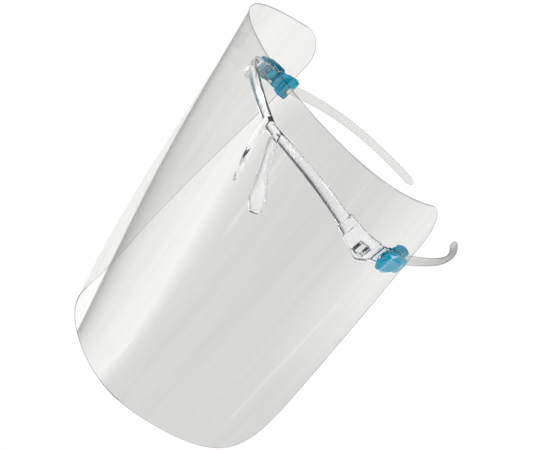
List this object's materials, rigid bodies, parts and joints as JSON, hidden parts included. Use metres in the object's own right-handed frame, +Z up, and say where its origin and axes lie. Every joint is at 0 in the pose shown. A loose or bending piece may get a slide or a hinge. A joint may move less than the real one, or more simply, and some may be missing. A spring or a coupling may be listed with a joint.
{
  "type": "face shield",
  "caption": "Glasses-type face shield: a bent clear visor film held on pegs at a clear spectacle front, with blue hinge blocks and folding side arms.",
  "frame": {"origin": "on the nose, midway between the two nose pads", "axes": "+X to the wearer's left, -Y forwards through the visor, +Z up"},
  "size_m": [0.1794, 0.2293, 0.2226],
  "materials": {
    "film": "clear glossy film",
    "clear": "clear glossy moulded plastic",
    "blue": "translucent glossy blue plastic",
    "pin": "translucent glossy blue plastic"
  },
  "bodies": {
    "front": {"front_frame": "clear", "hinge_block_left": "blue", "hinge_block_right": "blue", "film_clip_left": "blue", "film_clip_right": "blue", "hinge_pin_left": "pin", "hinge_pin_right": "pin"},
    "visor": {"visor_film": "film"},
    "left_arm": {"temple_left": "clear"},
    "right_arm": {"temple_right": "clear"}
  },
  "joints": [
    {"name": "visor_tilt", "type": "hinge", "parent": "front", "child": "visor", "pos_m": [0, 0.028, 0.034], "axis": [-1, 0, 0], "range_deg": [-8, 35]},
    {"name": "left_arm_fold", "type": "hinge", "parent": "front", "child": "left_arm", "pos_m": [0.06746, 0.045, 0.034], "axis": [0, 0, 1], "range_deg": [-6, 88]},
    {"name": "right_arm_fold", "type": "hinge", "parent": "front", "child": "right_arm", "pos_m": [-0.06746, 0.045, 0.034], "axis": [0, 0, -1], "range_deg": [-6, 66]}
  ]
}
